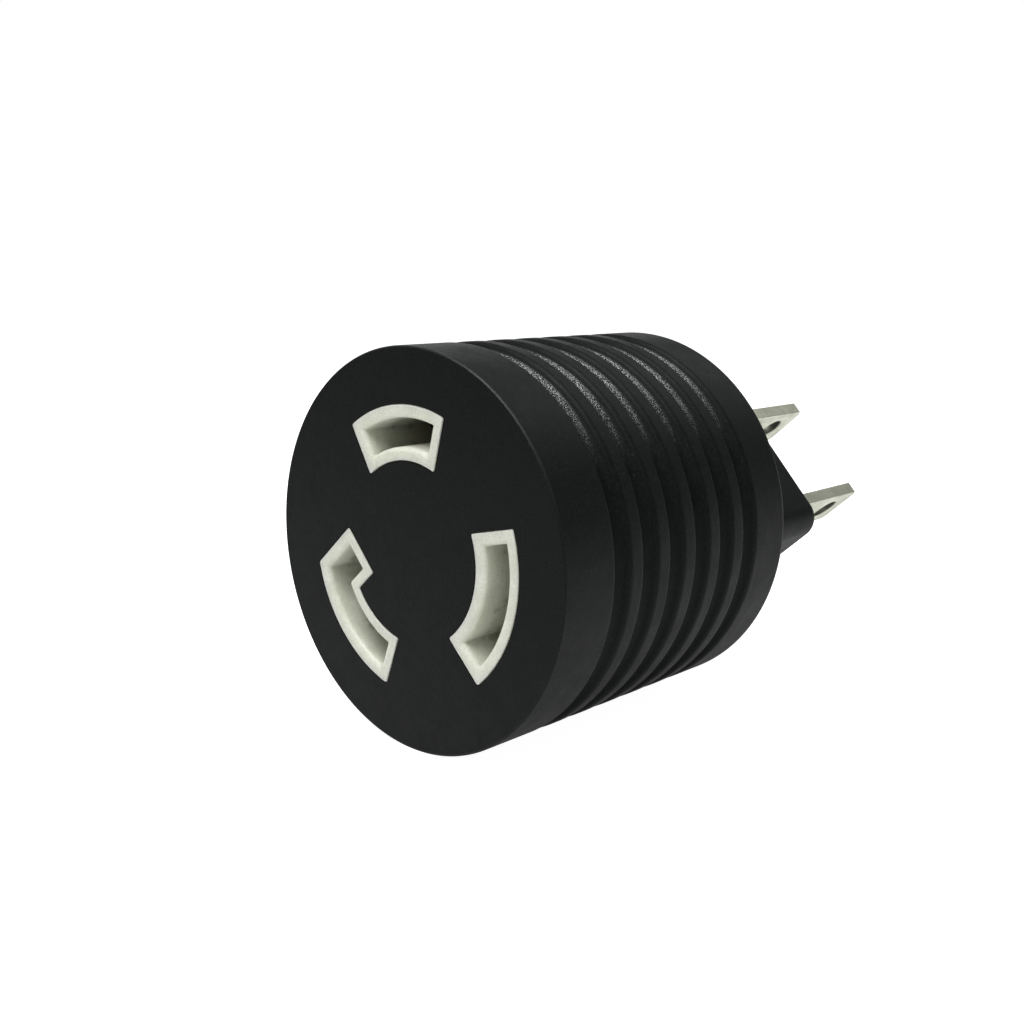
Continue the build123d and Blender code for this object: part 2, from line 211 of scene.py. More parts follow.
def slot_outline(name, grow):
    """A socket slot's opening, grown on all sides. The number of points doesn't depend on grow."""
    middle, half = SLOTS[name]
    outer = SLOT_R_OUT + grow
    inner = SLOT_R_IN - grow
    lean_out = math.degrees(math.asin(grow / outer))
    lean_in = math.degrees(math.asin(grow / inner))
    if name != "ground":
        outside = arc((0, 0), outer, middle - half - lean_out, middle + half + lean_out, ARC_STEPS)
        inside = arc((0, 0), inner, middle + half + lean_in, middle - half - lean_in, ARC_STEPS)
        ends = (line(outside[-1], inside[0], END_STEPS), line(inside[-1], outside[0], END_STEPS))
        return rounded([(outside, 40), (ends[0], 8), (inside, 36), (ends[1], 8)], SLOT_CORNER)
    hook_x = HOOK_X_END - grow
    side_x = HOOK_X_SIDE + grow
    hook_y = HOOK_Y_IN - grow
    hook_end = math.degrees(math.acos(hook_x / outer))
    hook_side = math.degrees(math.acos(side_x / inner))
    outside = arc((0, 0), outer, middle - half - lean_out, hook_end, ARC_STEPS)
    inside = arc((0, 0), inner, hook_side, middle - half - lean_in, ARC_STEPS)
    chain = [
        (outside, 40),
        (line(outside[-1], (hook_x, hook_y), END_STEPS), 12),
        (line((hook_x, hook_y), (side_x, hook_y), END_STEPS), 8),
        (line((side_x, hook_y), inside[0], END_STEPS), 8),
        (inside, 32),
        (line(inside[-1], outside[0], END_STEPS), 8),
    ]
    return rounded(chain, SLOT_CORNER)


def boss_outline(inset):
    """The plug boss: a flat bottom with rounded corners and a half-round end towards the ground pin."""
    half = BOSS_HALF - inset
    low = BOSS_LOW + inset
    corner = max(BOSS_CORNER - inset, BOSS_CORNER_LEAST)
    points = arc((0, BOSS_ROUND_Y), half, 0, 180, BOSS_ARC_STEPS)
    points += line((-half, BOSS_ROUND_Y), (-half, low + corner), BOSS_SIDE_STEPS)[1:]
    points += arc((-half + corner, low + corner), corner, 180, 270, BOSS_CORNER_STEPS)[1:]
    points += line((-half + corner, low), (half - corner, low), BOSS_LOW_STEPS)[1:]
    points += arc((half - corner, low + corner), corner, 270, 360, BOSS_CORNER_STEPS)[1:]
    points += line((half, low + corner), (half, BOSS_ROUND_Y), BOSS_SIDE_STEPS)[1:-1]
    return points


def blade_outline(side, grow):
    """A blade's cross section, grown on all sides. side is 1 for the hot blade, -1 for the neutral."""
    x = BLADE_THICK / 2 + grow
    y = BLADE_WIDTH / 2 + grow
    middle = (side * BLADE_X, BLADE_Y)
    corners = [(middle[0] + i * x, middle[1] + j * y) for i, j in ((1, -1), (1, 1), (-1, 1), (-1, -1))]
    edges = []
    for i in range(4):
        edges.append((line(corners[i], corners[(i + 1) % 4], 4), 4))
    return rounded(edges, BLADE_CORNER, 3)


def circle(centre, radius, steps):
    """A ring of that many points."""
    return arc(centre, radius, 0, 360, steps)[:-1]


def quarter(radius, steps):
    """(across, along) pairs that round a corner off: from (radius, 0) to (0, radius)."""
    pairs = []
    for i in range(steps + 1):
        turn = math.pi / 2 * i / steps
        pairs.append((radius * (1 - math.sin(turn)), radius * (1 - math.cos(turn))))
    return pairs


# ---- Mesh building ----
class Shell:
    """A closed skin made of rings, the bands between them and flat lids."""

    def __init__(self):
        self.mesh = bmesh.new()
        new_layer = self.mesh.verts.layers.float.new
        self.layers = {key: new_layer(key) for key in ("groove", "edge", "depth")}

    def points(self, places, marks):
        """New vertices, with the marks that the materials read: groove, edge and depth, each 0 to 1."""
        made = [self.mesh.verts.new(place) for place in places]
        for vert in made:
            for key, value in marks.items():
                vert[self.layers[key]] = value
        return made

    def ring(self, outline, z, **marks):
        """New vertices along an outline at height z."""
        return self.points([(x, y, z) for x, y in outline], marks)

    def band(self, a, b):
        """The faces between two rings of equally many points."""
        for i in range(len(a)):
            k = (i + 1) % len(a)
            self.mesh.faces.new((a[i], a[k], b[k], b[i]))

    def stack(self, rings):
        for a, b in zip(rings, rings[1:]):
            self.band(a, b)

    def lid(self, *rings):
        """A flat face bounded by the first ring, with the others as holes in it."""
        edges = []
        for ring in rings:
            for i in range(len(ring)):
                pair = (ring[i], ring[(i + 1) % len(ring)])
                edges.append(self.mesh.edges.get(pair) or self.mesh.edges.new(pair))
        bmesh.ops.triangle_fill(self.mesh, use_beauty=True, use_dissolve=False, edges=edges)

    def finish(self, name, material, replaced, slot, smooth_deg=35.0):
        """Makes the piece, which stands for the CAD node replaced and rides on the adapter's body."""
        bm = self.mesh
        bmesh.ops.recalc_face_normals(bm, faces=bm.faces)
        bmesh.ops.transform(bm, matrix=LOCAL, verts=bm.verts)
        for face in bm.faces:
            face.smooth = True
        for edge in bm.edges:
            if len(edge.link_faces) == 2 and edge.calc_face_angle(0.0) > math.radians(smooth_deg):
                edge.smooth = False
        mesh = bpy.data.meshes.new(name)
        bm.to_mesh(mesh)
        bm.free()
        thing = bpy.data.objects.new(name, mesh)
        bpy.context.scene.collection.objects.link(thing)
        thing.data.materials.append(material)
        weighted = thing.modifiers.new("weighted", "WEIGHTED_NORMAL")
        weighted.keep_sharp = True
        weighted.mode = "FACE_AREA_WITH_ANGLE"
        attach(thing, "adapter")
        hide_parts(replaced)


# ---- Materials ----
MIX_A = 6                  # a Mix node's colour sockets share their names with its other ones
MIX_B = 7
MIX_RESULT = 2


class Finish:
    """A procedural material, built from small steps."""

    def __init__(self, name):
        self.material = bpy.data.materials.new(name)
        self.material.use_nodes = True
        self.tree = self.material.node_tree
        self.bsdf = self.tree.nodes["Principled BSDF"]
        self.where = self.tree.nodes.new("ShaderNodeTexCoord").outputs["Object"]

    def link(self, value, socket):
        """Gives a socket a number, a colour or another node's output."""
        if isinstance(value, (int, float)):
            socket.default_value = value
        elif isinstance(value, tuple):
            socket.default_value = (*value, 1.0) if socket.type == "RGBA" else value
        else:
            self.tree.links.new(value, socket)

    def set(self, **inputs):
        """Fills the shader's inputs, named with _ for each space."""
        for name, value in inputs.items():
            self.link(value, self.bsdf.inputs[name.replace("_", " ")])

    def stretched(self, x, y, z):
        """Object coordinates scaled along each axis."""
        node = self.tree.nodes.new("ShaderNodeMapping")
        node.inputs["Scale"].default_value = (x, y, z)
        self.tree.links.new(self.where, node.inputs["Vector"])
        return node.outputs["Vector"]

    def noise(self, size_mm, detail, rough, where=None):
        """Noise whose largest features are about size_mm across."""
        node = self.tree.nodes.new("ShaderNodeTexNoise")
        node.inputs["Scale"].default_value = 1.0 / (size_mm * MM)
        node.inputs["Detail"].default_value = detail
        node.inputs["Roughness"].default_value = rough
        self.tree.links.new(where or self.where, node.inputs["Vector"])
        return node.outputs["Fac"]

    def ramp(self, value, low, high, start=0.0, stop=1.0):
        """value from low..high mapped to start..stop, clamped."""
        node = self.tree.nodes.new("ShaderNodeMapRange")
        self.link(value, node.inputs["Value"])
        for name, amount in (("From Min", low), ("From Max", high), ("To Min", start), ("To Max", stop)):
            self.link(amount, node.inputs[name])
        return node.outputs["Result"]

    def mix(self, factor, a, b):
        """Colour a where factor is 0, and b where it is 1."""
        node = self.tree.nodes.new("ShaderNodeMix")
        node.data_type = "RGBA"
        self.link(factor, node.inputs["Factor"])
        self.link(a, node.inputs[MIX_A])
        self.link(b, node.inputs[MIX_B])
        return node.outputs[MIX_RESULT]

    def math(self, operation, a, b):
        node = self.tree.nodes.new("ShaderNodeMath")
        node.operation = operation
        self.link(a, node.inputs[0])
        self.link(b, node.inputs[1])
        return node.outputs[0]

    def mark(self, name):
        """A mark that the mesh carries on its vertices."""
        node = self.tree.nodes.new("ShaderNodeAttribute")
        node.attribute_name = name
        return node.outputs["Fac"]

    def facing_up(self):
        """1 where the surface faces straight up in the rest pose, -1 where it faces down."""
        geometry = self.tree.nodes.new("ShaderNodeNewGeometry")
        split = self.tree.nodes.new("ShaderNodeSeparateXYZ")
        self.tree.links.new(geometry.outputs["True Normal"], split.inputs[0])
        return split.outputs["Z"]

    def bump(self, height, depth_mm, normal=None, strength=1.0):
        """A normal roughened by height, on top of another normal if one is given."""
        node = self.tree.nodes.new("ShaderNodeBump")
        node.inputs["Distance"].default_value = depth_mm * MM
        self.link(strength, node.inputs["Strength"])
        self.link(height, node.inputs["Height"])
        if normal is not None:
            self.link(normal, node.inputs["Normal"])
        return node.outputs["Normal"]


def black_finish():
    """Moulded black plastic: fine grain, faint mottling, spark-eroded groove floors, and edges painted
    paler, partly as rubbed wear and partly as a painted highlight strongest on edges facing up.
    """
    f = Finish("body_black")
    groove = f.mark("groove")
    # edges facing up weigh up to 1.3 and edges facing down 0.2: painted highlight on top of the edge wear
    edge = f.math("MULTIPLY", f.mark("edge"), f.ramp(f.facing_up(), 0.15, 0.55, 0.2, 1.3))
    mottle = f.noise(2.6, 4.0, 0.6)
    fine = f.noise(0.16, 3.0, 0.6)
    pits = f.noise(0.12, 2.0, 0.7)

    # colour: near black, with paler grain, specks of dust, and paler edges that are partly wear and partly
    # painted highlight, strongest on edges facing up
    tone = f.mix(f.ramp(mottle, 0.3, 0.7), (0.0010, 0.0013, 0.0013), (0.0022, 0.0026, 0.0025))
    tone = f.mix(f.ramp(fine, 0.50, 0.66, 0.0, 0.5), tone, (0.013, 0.014, 0.0135))
    dust = f.noise(0.45, 4.0, 0.7)
    tone = f.mix(f.ramp(dust, 0.66, 0.74, 0.0, 0.35), tone, (0.08, 0.082, 0.08))
    # paler edges: partly wear, partly painted highlight on the upward-facing ones
    tone = f.mix(f.math("MULTIPLY", edge, 0.25), tone, (0.02, 0.022, 0.021))

    # glitter: small glossy flakes on the groove floors that face up
    settled = f.ramp(f.facing_up(), 0.47, 0.78)
    flake = f.math("MULTIPLY", groove, f.ramp(f.noise(0.11, 3.0, 0.65), 0.47, 0.53))
    flake = f.math("MULTIPLY", flake, settled)
    rough = f.ramp(mottle, 0.3, 0.7, 0.46, 0.56)
    rough = f.math("ADD", rough, f.ramp(fine, 0.3, 0.7, -0.06, 0.06))
    rough = f.math("SUBTRACT", rough, f.math("MULTIPLY", flake, 0.26))
    rough = f.math("SUBTRACT", rough, f.math("MULTIPLY", edge, 0.10))
    shine = f.math("ADD", f.ramp(flake, 0.0, 1.0, 0.12, 0.9), f.math("MULTIPLY", edge, 0.11))

    normal = f.bump(mottle, 0.05)
    normal = f.bump(fine, 0.032, normal)
    pitted = f.math("MULTIPLY", groove, f.ramp(f.facing_up(), 0.25, 0.6))
    normal = f.bump(pits, 0.075, normal, pitted)
    f.set(Base_Color=tone, Roughness=rough, Normal=normal, Specular_IOR_Level=shine)
    f.set(Specular_Tint=(0.94, 1.0, 0.98))
    f.set(Coat_Weight=flake, Coat_IOR=1.95, Coat_Roughness=0.16, Coat_Normal=normal)
    return f.material


def white_finish():
    """Warm white insert: slight grain and specks, painted shade darkening it deeper down the slots, and
    stains there.
    """
    f = Finish("insert_white")
    depth = f.mark("depth")
    edge = f.mark("edge")
    cloud = f.noise(1.8, 4.0, 0.6)
    fine = f.noise(0.20, 3.0, 0.7)
    smudge = f.noise(1.5, 3.0, 0.6)
    tone = f.mix(f.ramp(cloud, 0.3, 0.7), (0.61, 0.625, 0.53), (0.72, 0.73, 0.64))
    tone = f.mix(f.ramp(fine, 0.35, 0.65, 0.40, 0.0), tone, (0.40, 0.41, 0.34))
    # painted shade: darker towards the bottom of each slot, by the depth mark
    tone = f.mix(f.math("MULTIPLY", f.ramp(depth, 0.22, 0.9), 0.44), tone, (0.14, 0.14, 0.05))
    stain = f.math("MULTIPLY", f.ramp(smudge, 0.53, 0.68), f.ramp(depth, 0.12, 0.30, 0.0, 0.42))
    tone = f.mix(stain, tone, (0.10, 0.075, 0.045))
    rough = f.ramp(cloud, 0.3, 0.7, 0.38, 0.50)
    rough = f.math("SUBTRACT", rough, f.math("MULTIPLY", edge, 0.06))
    normal = f.bump(cloud, 0.03)
    normal = f.bump(fine, 0.010, normal)
    f.set(Base_Color=tone, Roughness=rough, Normal=normal, Specular_IOR_Level=0.5)
    f.set(Subsurface_Weight=0.7, Subsurface_Radius=(1.0, 1.0, 0.8), Subsurface_Scale=1.6 * MM)
    return f.material


def metal_finish(name, pale, dull, rough=(0.40, 0.52), streak=(1.0, 0.06, 1.0), depth=0.006):
    """Stamped and plated metal: rolling streaks along the adapter's axis, dulled in patches, and painted
    shade where the depth mark is set.
    """
    f = Finish(name)
    streaks = f.noise(0.10, 3.0, 0.6, f.stretched(*streak))
    patch = f.noise(2.2, 4.0, 0.65)
    fine = f.noise(0.05, 2.0, 0.5)
    tone = f.mix(f.ramp(patch, 0.38, 0.66, 0.1, 0.8), pale, dull)
    tone = f.mix(f.ramp(streaks, 0.45, 0.75, 0.0, 0.35), tone, tuple(0.72 * c for c in dull))
    # painted shade: darker where the depth mark is set, which is down inside a blade's cross hole
    tone = f.mix(f.math("MULTIPLY", f.mark("depth"), 0.8), tone, tuple(0.12 * c for c in dull))
    shine = f.ramp(patch, 0.35, 0.7, *rough)
    shine = f.math("ADD", shine, f.ramp(streaks, 0.3, 0.7, -0.04, 0.06))
    normal = f.bump(streaks, depth)
    normal = f.bump(fine, depth / 3, normal)
    f.set(Base_Color=tone, Roughness=shine, Metallic=1.0, Normal=normal)
    return f.material


def plastic_finish(name, light, dark, rough=(0.40, 0.55), grain_mm=0.14, depth=0.012):
    """Plain moulded or extruded plastic for the pieces inside."""
    f = Finish(name)
    cloud = f.noise(2.4, 4.0, 0.6)
    fine = f.noise(grain_mm, 3.0, 0.6)
    tone = f.mix(f.ramp(cloud, 0.3, 0.7), light, dark)
    tone = f.mix(f.ramp(fine, 0.5, 0.75, 0.0, 0.3), tone, tuple(0.7 * c for c in dark))
    normal = f.bump(cloud, 0.03)
    normal = f.bump(fine, depth, normal)
    f.set(Base_Color=tone, Roughness=f.ramp(fine, 0.3, 0.7, *rough), Normal=normal)
    return f.material


# ---- Outer body ----
def body_profile():
    """(radius, z, groove, edge) from the socket face's rim to the rear rim. Each groove is a round cove."""
    # the cove would be GROOVE_HALF wide to each side if it had no lips
    cove_r = (GROOVE_DEPTH ** 2 + GROOVE_HALF ** 2) / (2 * GROOVE_DEPTH)
    cove_centre = BODY_R - GROOVE_DEPTH + cove_r
    # the lip's arc touches both the cove and the rib's flat
    drop = cove_centre - (BODY_R - GROOVE_LIP)
    lip_start = math.sqrt((cove_r + GROOVE_LIP) ** 2 - drop ** 2)
    steep = math.acos(drop / (cove_r + GROOVE_LIP))
    rows = [(BODY_R - RIM_FRONT - EDGE_FADE, 0.0, 0.0, 0.0)]
    for across, along in quarter(RIM_FRONT, 5):
        rows.append((BODY_R - across, along, 0.0, 1.0))
    rows.append((BODY_R, RIM_FRONT + EDGE_FADE, 0.0, 0.0))
    for n in range(GROOVE_COUNT):
        middle = GROOVE_FIRST + n * GROOVE_PITCH
        near = []
        for i in range(LIP_STEPS + 1):
            turn = steep * i / LIP_STEPS
            r = BODY_R - GROOVE_LIP * (1 - math.cos(turn))
            z = -lip_start + GROOVE_LIP * math.sin(turn)
            near.append((r, z, 0.0, 0.0))
        for i in range(1, COVE_STEPS):
            turn = steep * (1 - i / COVE_STEPS)
            r = cove_centre - cove_r * math.cos(turn)
            z = -cove_r * math.sin(turn)
            eroded = min(1.0, max(0.0, (ERODED_END - turn) / ERODED_FADE))
            near.append((r, z, eroded, 0.0))
        rows += [(r, middle + z, g, e) for r, z, g, e in near]
        rows.append((cove_centre - cove_r, middle, 1.0, 0.0))
        rows += [(r, middle - z, g, e) for r, z, g, e in reversed(near)]
    rows.append((BODY_R, BODY_LEN - RIM_REAR - EDGE_FADE, 0.0, 0.0))
    for across, along in reversed(quarter(RIM_REAR, 6)):
        rows.append((BODY_R - across, BODY_LEN - along, 0.0, 0.4))
    rows.append((BODY_R - RIM_REAR - EDGE_FADE, BODY_LEN, 0.0, 0.0))
    return rows


def plug_hole(cut, grow):
    """The opening in the plug face round the pin or a blade, grown on all sides."""
    if cut == "pin":
        return circle((0, PIN_Y), PIN_ROOT_R + grow, PLUG_HOLE_ROUND)
    return blade_outline(1 if cut == "hot" else -1, grow)


def overmould_body(material):
    """Ribbed cylinder with three windows in its face, the plug boss behind it, and the hollow inside."""
    shell = Shell()
    rings = []
    for r, z, groove, edge in body_profile():
        rings.append(shell.ring(circle((0, 0), r, ROUND), z, groove=groove, edge=edge))
    shell.stack(rings)

    # the windows, from their lips in the face down to the hollow
    window_grow = COLLAR_WALL + WINDOW_GAP
    border = window_grow + WINDOW_LIP + EDGE_FADE
    mouths = []
    feet = []
    for name in SLOTS:
        stack = [shell.ring(slot_outline(name, border), 0.0, groove=0.0, edge=0.0)]
        for across, along in quarter(WINDOW_LIP, 3):
            stack.append(shell.ring(slot_outline(name, window_grow + across), along, groove=0.0, edge=0.3))
        foot = slot_outline(name, window_grow)
        stack.append(shell.ring(foot, INSERT_START - GAP, groove=0.0, edge=0.0))
        shell.stack(stack)
        mouths.append(stack[0])
        feet.append(stack[-1])
    shell.lid(rings[0], *mouths)

    hollow = shell.ring(circle((0, 0), CORE_R + GAP, CORE_ROUND), INSERT_START - GAP)
    shell.lid(hollow, *feet)
    hollow_end = shell.ring(circle((0, 0), CORE_R + GAP, CORE_ROUND), BOSS_INSIDE[0])
    shell.band(hollow, hollow_end)

    # the boss, outside and inside
    boss = []
    for across, along in quarter(BOSS_ROOT, 4):
        boss.append(shell.ring(boss_outline(-across), BODY_LEN + along, groove=0.0, edge=0.0))
    boss.append(shell.ring(boss_outline(0.0), PLUG_FACE - BOSS_EDGE - EDGE_FADE, groove=0.0, edge=0.0))
    for across, along in reversed(quarter(BOSS_EDGE, 6)):
        boss.append(shell.ring(boss_outline(across), PLUG_FACE - along, groove=0.0, edge=0.7))
    boss.append(shell.ring(boss_outline(BOSS_EDGE + EDGE_FADE), PLUG_FACE, groove=0.0, edge=0.0))
    shell.stack(boss)
    shell.lid(rings[-1], boss[0])
    inside = [shell.ring(boss_outline(BOSS_WALL - GAP), z) for z in BOSS_INSIDE]
    shell.band(*inside)
    shell.lid(hollow_end, inside[0])

    # the openings in the plug face for the blades and the pin
    outer_mouths = []
    inner_mouths = []
    for cut in ("hot", "neutral", "pin"):
        stack = []
        for across, along in quarter(PLUG_HOLE_LIP, 3):
            stack.append(shell.ring(plug_hole(cut, across + GAP), PLUG_FACE - along, groove=0.0, edge=0.0))
        stack.append(shell.ring(plug_hole(cut, GAP), BOSS_INSIDE[1]))
        shell.stack(stack)
        outer_mouths.append(stack[0])
        inner_mouths.append(stack[-1])
    shell.lid(boss[-1], *outer_mouths)
    shell.lid(inside[1], *inner_mouths)
    shell.finish("outer_body", material, "overmould_body", "body_black")


# ---- White insert ----
SCREW_ANGLES = (-89.0, 29.0, 154.0)
SCREW_R = 12.0
SCREW_BORE_R = 1.27
SCREW_BORE_START = 3.38
THROAT_STEPS = 12          # rings down a slot's wall


def socket_insert(material):
    """Round flange with a collar for each slot and blind bores for the screws in its back."""
    shell = Shell()
    collars = []
    throats = []
    for name in SLOTS:
        stack = []

        def ring(grow, z, depth, edge):
            stack.append(shell.ring(slot_outline(name, grow), z, depth=depth, edge=edge))

        ring(COLLAR_WALL, INSERT_START, 0.0, 0.0)
        for across, along in reversed(quarter(COLLAR_RIM, 4)):
            ring(COLLAR_WALL - across, along - COLLAR_PROUD, 0.0, 0.6)
        for across, along in quarter(SLOT_MOUTH, 8):
            ring(across, along - COLLAR_PROUD, 0.0, 1.0)
        deep = SLOT_MOUTH - COLLAR_PROUD
        for i in range(1, THROAT_STEPS + 1):
            z = deep + (INSERT_END - deep) * i / THROAT_STEPS
            # the depth mark, which the white finish turns into painted shade and stains down the slot
            ring(0.0, z, z / INSERT_END, 0.0)
        shell.stack(stack)
        collars.append(stack[0])
        throats.append(stack[-1])
    flange = [shell.ring(circle((0, 0), CORE_R, CORE_ROUND), z) for z in (INSERT_START, INSERT_END)]
    shell.band(*flange)
    bores = []
    for angle in SCREW_ANGLES:
        outline = circle(polar(SCREW_R, angle), SCREW_BORE_R, BORE_ROUND)
        bore = [shell.ring(outline, z) for z in (INSERT_END, SCREW_BORE_START)]
        shell.band(*bore)
        shell.lid(bore[1])
        bores.append(bore[0])
    shell.lid(flange[0], *collars)
    shell.lid(flange[1], *throats, *bores)
    shell.finish("white_insert", material, "socket_insert", "insert_white")


# ---- Plug ----
SHOULDER_START = 42.0
SHOULDER_END = 43.6
SHOULDER_EXTRA = 1.0
TAIL_WIDTH = 4.0
TAIL_START = 38.9
BARREL_START = 36.0
BARREL_END = 39.5
BARREL_R = 1.7
BARREL_BORE = 0.95
HOLE_R = 1.6
HOLE_BEVEL = 0.25
HOLE_FROM_TIP = 4.0
TIP_CUT = 0.55
STRIP_CORNER = 0.15        # how far the corners of a blade's outline are eased
STRIP_EASE = 0.13          # rounding along a blade's edges
DOME_R = 1.7               # rounding of the pin's tip
DOME_STEPS = 10
ROOT_SHORT = 0.2           # from the end of the pin's root to the plug face
ROOT_TAPER = 0.25
ROOT_STEP = 0.05


def blade(side, name, replaced, material):
    """Flat blade cut from strip: an outline with a cross hole, its rims eased, and the barrel behind it."""
    shell = Shell()
    half = BLADE_WIDTH / 2
    tail = TAIL_WIDTH / 2
    wide = half + SHOULDER_EXTRA
    right = [
        (tail, TAIL_START), (tail, SHOULDER_START), (wide, SHOULDER_START), (wide, SHOULDER_END),
        (half, SHOULDER_END), (half, BLADE_TIP - TIP_CUT), (half - TIP_CUT, BLADE_TIP),
    ]
    corners = right + [(-w, z) for w, z in reversed(right)]
    edges = []
    for i in range(len(corners)):
        a = corners[i]
        b = corners[(i + 1) % len(corners)]
        edges.append((line(a, b, 4), 3))
    outline = rounded(edges, STRIP_CORNER, 3)
    centre = (0.0, BLADE_TIP - HOLE_FROM_TIP)

    def flat(points, level, **marks):
        """A ring of (width, z) points at one level of the blade's thickness."""
        return shell.points([(side * BLADE_X + level, BLADE_Y + w, z) for w, z in points], marks)

    def inset(points, amount):
        """The outline pulled in by amount, along its own normals."""
        pulled = []
        for i, p in enumerate(points):
            before = points[i - 1]
            after = points[(i + 1) % len(points)]
            dx, dy = after[0] - before[0], after[1] - before[1]
            size = math.hypot(dx, dy) or 1.0
            pulled.append((p[0] - dy / size * amount, p[1] + dx / size * amount))
        return pulled

    rim = []
    hole = []
    for face in (-1, 1):
        steps = quarter(STRIP_EASE, 3) if face < 0 else list(reversed(quarter(STRIP_EASE, 3)))
        for across, along in steps:
            level = face * (BLADE_THICK / 2 - along)
            rim.append(flat(inset(outline, across), level, edge=1.0))
            share = across / STRIP_EASE
            bevelled = circle(centre, HOLE_R + share * HOLE_BEVEL, CROSS_HOLE_ROUND)
            # depth rises from the hole's rims to its middle; the metal finish paints shade by it
            hole.append(flat(bevelled, level, edge=1.0, depth=1.0 - share))
    shell.stack(rim)
    shell.stack(hole)
    shell.lid(rim[0], hole[0])
    shell.lid(rim[-1], hole[-1])

    place = (side * BLADE_X, BLADE_Y)
    outside = [shell.ring(circle(place, BARREL_R, BARREL_ROUND), z) for z in (BARREL_START, BARREL_END)]
    bore = [shell.ring(circle(place, BARREL_BORE, BARREL_ROUND), z) for z in (BARREL_START, TAIL_START)]
    shell.band(*outside)
    shell.band(*bore)
    shell.lid(outside[0], bore[0])
    shell.lid(outside[1])
    shell.lid(bore[1])
    shell.finish(name, material, replaced, "nickel_plate")


def ground_pin(material):
    """Round pin: domed tip, straight shank, thicker root, flange and crimp barrel."""
    shell = Shell()
    profile = []
    for i in range(DOME_STEPS + 1):
        turn = math.pi / 2 * i / DOME_STEPS
        r = PIN_R - DOME_R + DOME_R * math.sin(turn)
        profile.append((r, PIN_TIP - DOME_R + DOME_R * math.cos(turn)))
    root_top = PLUG_FACE - ROOT_SHORT
    profile += [(PIN_R, root_top + ROOT_TAPER), (PIN_R + ROOT_STEP, root_top), (PIN_ROOT_R, root_top)]
    profile += [(PIN_ROOT_R, SHOULDER_END), (PIN_ROOT_R + SHOULDER_EXTRA, SHOULDER_END)]
    profile += [(PIN_ROOT_R + SHOULDER_EXTRA, SHOULDER_START), (BARREL_R, SHOULDER_START)]
    profile += [(BARREL_R, BARREL_START), (BARREL_BORE, BARREL_START), (BARREL_BORE, TAIL_START)]
    rings = [shell.ring(circle((0, PIN_Y), r, PIN_ROUND), z, edge=0.0) for r, z in profile]
    shell.stack(rings)
    shell.lid(rings[0])
    shell.lid(rings[-1])
    shell.finish("round_pin", material, "ground_pin", "nickel_plate", 28.0)


nickel = metal_finish("nickel_plate", (0.60, 0.62, 0.51), (0.40, 0.415, 0.325))
overmould_body(black_finish())
socket_insert(white_finish())
blade(1, "hot_prong", "hot_blade", nickel)
blade(-1, "neutral_prong", "neutral_blade", nickel)
ground_pin(nickel)

# ---- Pieces inside, which keep their CAD shapes ----
INSIDE = {
    "carrier_nylon": plastic_finish("carrier_nylon", (0.10, 0.10, 0.085), (0.07, 0.07, 0.06)),
    "inner_mould": plastic_finish("inner_mould", (0.045, 0.047, 0.050), (0.030, 0.031, 0.033)),
    "contact_brass": metal_finish("contact_brass", (0.72, 0.52, 0.24), (0.58, 0.40, 0.17)),
    "leaf_bronze": metal_finish("leaf_bronze", (0.70, 0.44, 0.24), (0.56, 0.34, 0.17)),
    "screw_steel": metal_finish("screw_steel", (0.60, 0.61, 0.62), (0.45, 0.46, 0.47)),
    "bare_copper": metal_finish("bare_copper", (0.85, 0.46, 0.28), (0.70, 0.34, 0.19)),
    "insulation_black": plastic_finish("insulation_black", (0.020, 0.020, 0.021), (0.012, 0.012, 0.013)),
    "insulation_white": plastic_finish("insulation_white", (0.72, 0.72, 0.69), (0.62, 0.62, 0.58)),
    "insulation_green": plastic_finish("insulation_green", (0.03, 0.24, 0.07), (0.02, 0.17, 0.05)),
}
NODE_FINISH = {
    "contact_carrier": "carrier_nylon",
    "carrier_cover": "carrier_nylon",
    "carrier_screws": "screw_steel",
    "blade_bridge": "carrier_nylon",
    "bridge_retainer": "carrier_nylon",
    "lead_premould": "inner_mould",
    "hot_insulation": "insulation_black",
    "neutral_insulation": "insulation_white",
    "ground_insulation": "insulation_green",
}
for pole in ("hot", "neutral", "ground"):
    NODE_FINISH[pole + "_contact"] = "contact_brass"
    NODE_FINISH[pole + "_spring_leaf"] = "leaf_bronze"
    NODE_FINISH[pole + "_conductor"] = "bare_copper"
for node, finish in NODE_FINISH.items():
    for holder in frame["nodes"][node].material_slots:
        holder.material = INSIDE[finish]


# ---- Studio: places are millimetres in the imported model's frame ----
LAMPS = (                  # name, place, size, power in watts
    ("overhead", (0, -60, 392), (200, 200), 1.15),
    ("key", (60, -190, 340), (200, 200), 0.75),
    ("front_left", (-217, -202, 283), (240, 240), 0.20),
    ("left", (-296, 263, 104), (240, 240), 0.16),
    ("rear", (40, 300, 273), (300, 160), 0.20),
)
LAMP_TARGET = (0, 15, 0)
FLOOR_HALF = 3000.0
FLOOR_CLOUD = 60.0         # size of the floor's faint mottling
GLOW_TOWARDS = (0.7, 0.7, 0.0)
GLOW_REACH = 0.12          # metres from the frame's origin to where the glow stops changing
GLOW_LEAST = 0.14
GLOW_MOST = 0.56
GLOW_SEEN = 0.97
SURROUNDINGS = (0.22, 0.225, 0.225)
CAMERA_PLACE = (81.58, -72.13, 25.21)
CAMERA_AZIMUTH = math.radians(43.56)
CAMERA_ELEVATION = math.radians(11.10)
CAMERA_LENS = 42.68
CAMERA_SENSOR = 36.0
CAMERA_CLIP = 5.0


def lamp(name, place, size, power):
    """A soft rectangular lamp that the camera doesn't see."""
    data = bpy.data.lights.new(name, "AREA")
    data.shape = "RECTANGLE"
    data.size = size[0] * MM
    data.size_y = size[1] * MM
    data.energy = power
    thing = bpy.data.objects.new(name, data)
    bpy.context.scene.collection.objects.link(thing)
    thing.location = Vector(place) * MM
    thing.rotation_euler = (Vector(LAMP_TARGET) - Vector(place)).to_track_quat("-Z", "Y").to_euler()
    thing.visible_camera = False


